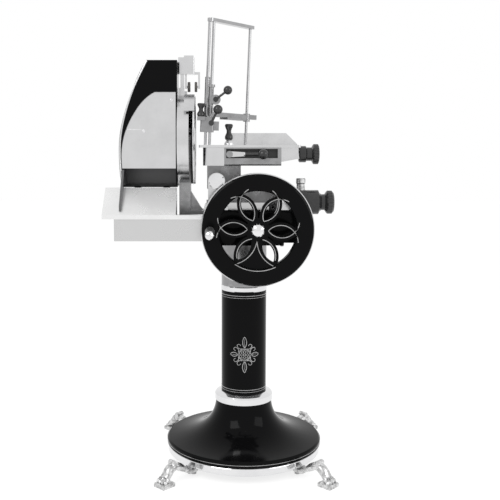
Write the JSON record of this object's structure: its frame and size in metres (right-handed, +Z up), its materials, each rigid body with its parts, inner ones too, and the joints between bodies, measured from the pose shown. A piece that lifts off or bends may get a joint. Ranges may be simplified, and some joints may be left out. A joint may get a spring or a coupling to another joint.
{
  "type": "hand crank meat slicer on pedestal",
  "caption": "Flywheel-driven hand meat slicer with round knife, hooded slice side, sliding meat table and press, on a bell-footed pedestal column with paw feet.",
  "frame": {"origin": "on the floor under the column's axis", "axes": "+Z up; the flywheel faces -Y; the slice tray is at -X and the feed knobs at +X"},
  "size_m": [0.7123, 0.6572, 1.4098],
  "materials": {
    "black_enamel": "high-gloss black enamel",
    "grey_metallic": "metallic dark grey, satin",
    "chrome": "mirror chrome",
    "polished_steel": "polished",
    "stainless_sheet": "fine brushed sheet",
    "steel": "machined",
    "bronze": "machined",
    "black_gloss_plastic": "glossy black",
    "black_block": "semi-gloss black",
    "cast_aluminium": "polished casting",
    "abrasive": "fine grit"
  },
  "bodies": {
    "stand": {"foot_front_left": "cast_aluminium", "foot_front_right": "cast_aluminium", "foot_rear_left": "cast_aluminium", "foot_rear_right": "cast_aluminium", "pedestal_bolts": "steel", "base_ring": "chrome", "base_bell": "black_enamel", "lower_collar": "chrome", "column_tube": "black_enamel", "upper_collar": "chrome", "column_head": "grey_metallic", "base_plate": "black_enamel", "base_screws": "steel", "machine_base": "black_enamel", "shaft_bushes": "bronze", "rail_brackets": "polished_steel", "guide_rails": "chrome", "knife_post": "grey_metallic", "drive_chain": "steel", "chain_cover": "grey_metallic", "knife_drum": "polished_steel", "knife_guard": "polished_steel", "knife_hood": "black_enamel", "slice_deflector": "polished_steel", "slice_tray": "stainless_sheet", "thickness_block": "black_block"},
    "wheel": {"flywheel": "black_enamel", "hub_cap": "chrome", "wheel_shaft": "steel", "bevel_gear": "steel", "handle_pin": "steel"},
    "handle": {"handle_grip": "black_gloss_plastic"},
    "drive": {"crank_shaft": "steel", "bevel_pinion": "steel", "drive_sprocket": "steel"},
    "knife": {"knife_blade": "polished_steel", "knife_arbor": "polished_steel", "knife_sprocket": "steel"},
    "rocker": {"rocker_arm": "steel"},
    "carriage": {"saddle": "grey_metallic", "carriage_bed": "black_enamel", "bed_screws": "steel", "carriage_end": "polished_steel"},
    "lever": {"release_lever": "steel"},
    "table": {"meat_table": "polished_steel", "table_fence": "polished_steel", "press_columns": "chrome", "top_bar": "chrome"},
    "feed": {"feed_screw": "chrome", "feed_knob": "black_gloss_plastic"},
    "press": {"press_head": "polished_steel"},
    "clamp_upper": {"clamp_lever_upper": "black_gloss_plastic"},
    "clamp_lower": {"clamp_lever_lower": "black_gloss_plastic"},
    "press_grip": {"press_knob": "black_gloss_plastic"},
    "table_grip": {"table_knob": "black_gloss_plastic"},
    "sharpener": {"sharpener_housing": "polished_steel"},
    "grinder": {"grinding_stone": "abrasive"},
    "hone": {"honing_stone": "abrasive"},
    "thickness": {"thickness_knob": "black_gloss_plastic"},
    "plunger": {"index_plunger": "cast_aluminium"}
  },
  "joints": [
    {"name": "wheel_turn", "type": "hinge", "parent": "stand", "child": "wheel", "pos_m": [0.032, -0.235, 0.771], "axis": [0, 1, 0], "continuous": true},
    {"name": "handle_spin", "type": "hinge", "parent": "wheel", "child": "handle", "pos_m": [-0.109, -0.3, 0.771], "axis": [0, 1, 0], "continuous": true},
    {"name": "drive_turn", "type": "hinge", "parent": "stand", "child": "drive", "pos_m": [0, 0.02, 0.771], "axis": [1, 0, 0], "continuous": true},
    {"name": "knife_turn", "type": "hinge", "parent": "stand", "child": "knife", "pos_m": [-0.166, 0.02, 1.0377], "axis": [1, 0, 0], "continuous": true},
    {"name": "carriage_slide", "type": "slide", "parent": "stand", "child": "carriage", "axis": [0, 1, 0], "range_m": [-0.086, 0.086]},
    {"name": "rocker_swing", "type": "hinge", "parent": "stand", "child": "rocker", "pos_m": [0.0865, 0.02, 0.736], "axis": [-1, 0, 0], "range_deg": [-38.5, 38.5]},
    {"name": "lever_swing", "type": "hinge", "parent": "carriage", "child": "lever", "pos_m": [-0.05, -0.139, 0.993], "axis": [0, 1, 0], "range_deg": [-5, 25]},
    {"name": "feed_turn", "type": "hinge", "parent": "table", "child": "feed", "pos_m": [0.2, -0.02, 0.992], "axis": [1, 0, 0], "range_deg": [0, 5400]},
    {"name": "table_slide", "type": "slide", "parent": "carriage", "child": "table", "axis": [1, 0, 0], "range_m": [0, 0.12]},
    {"name": "table_knob_turn", "type": "hinge", "parent": "table", "child": "table_grip", "pos_m": [-0.05, -0.02, 1.06], "axis": [0, 0, 1], "range_deg": [-180, 180]},
    {"name": "press_slide", "type": "slide", "parent": "table", "child": "press", "axis": [0.0384, 0, 0.9993], "range_m": [0, 0.15]},
    {"name": "clamp_upper_turn", "type": "hinge", "parent": "press", "child": "clamp_upper", "pos_m": [-0.09171, -0.08, 1.16062], "axis": [0, 1, 0], "range_deg": [-60, 40]},
    {"name": "clamp_lower_turn", "type": "hinge", "parent": "press", "child": "clamp_lower", "pos_m": [-0.1055, -0.08, 1.0881], "axis": [0, 1, 0], "range_deg": [-28, 30]},
    {"name": "press_knob_turn", "type": "hinge", "parent": "press", "child": "press_grip", "pos_m": [-0.13775, -0.092, 1.10835], "axis": [0.0384, 0, 0.9993], "range_deg": [-180, 180]},
    {"name": "sharpener_lower", "type": "slide", "parent": "stand", "child": "sharpener", "axis": [0, 0, 1], "range_m": [-0.006, 0]},
    {"name": "grinding_stone_spin", "type": "hinge", "parent": "sharpener", "child": "grinder", "pos_m": [-0.177, 0.02, 1.206], "axis": [1, 0, 0], "continuous": true},
    {"name": "honing_stone_spin", "type": "hinge", "parent": "sharpener", "child": "hone", "pos_m": [-0.155, 0.02, 1.206], "axis": [1, 0, 0], "continuous": true},
    {"name": "thickness_turn", "type": "hinge", "parent": "stand", "child": "thickness", "pos_m": [0.2, -0.06, 0.842], "axis": [1, 0, 0], "range_deg": [0, 300]},
    {"name": "plunger_pull", "type": "slide", "parent": "stand", "child": "plunger", "axis": [0, 0, 1], "range_m": [0, 0.006], "stiffness_N_per_m": 400, "springref_m": -0.004}
  ],
  "couplings": [
    {"joint": "drive_turn", "follows": "wheel_turn", "ratio": -2},
    {"joint": "knife_turn", "follows": "wheel_turn", "ratio": -2},
    {"joint": "rocker_swing", "follows": "carriage_slide", "rad_per_m": 7.7},
    {"joint": "feed_turn", "follows": "table_slide", "rad_per_m": 785.4}
  ]
}
